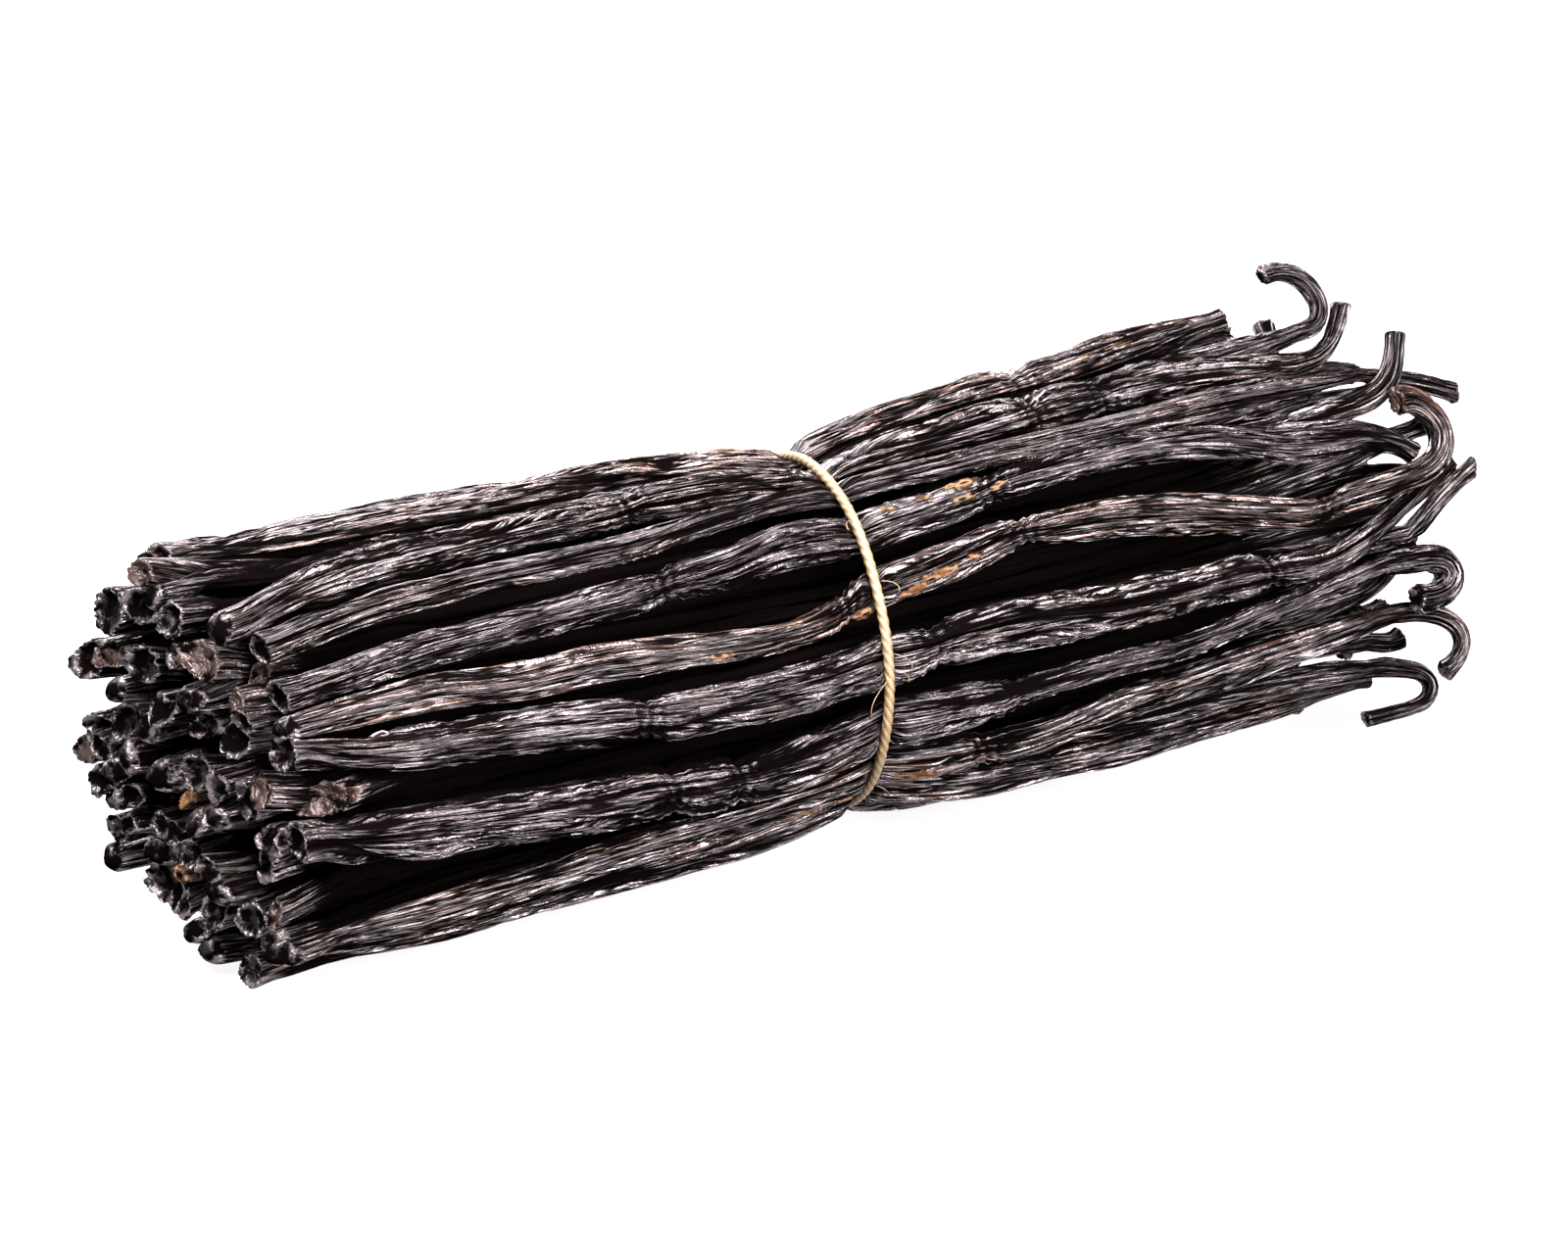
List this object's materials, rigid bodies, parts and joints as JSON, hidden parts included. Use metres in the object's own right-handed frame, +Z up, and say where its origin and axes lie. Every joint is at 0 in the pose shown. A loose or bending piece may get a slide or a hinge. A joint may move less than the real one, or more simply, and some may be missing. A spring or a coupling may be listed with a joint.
{
  "type": "bundle of vanilla pods",
  "caption": "Bundle of dark cured vanilla pods lying on its side, blunt tips at one end, hooked stalks at the other, tied once round the waist with string.",
  "frame": {"origin": "on the surface that the bundle lies on, under the middle of its box", "axes": "+X along the bundle from the blossom tips to the hooked stalks, +Z up, +Y to the side away from the shown front"},
  "size_m": [0.1806, 0.0604, 0.0561],
  "materials": {
    "pods": "oily, near-black brown, finely wrinkled along each pod",
    "string": "waxed twisted straw-coloured string"
  },
  "bodies": {
    "root": {"pod_bundle": "pods", "waist_tie": "string"}
  },
  "joints": []
}
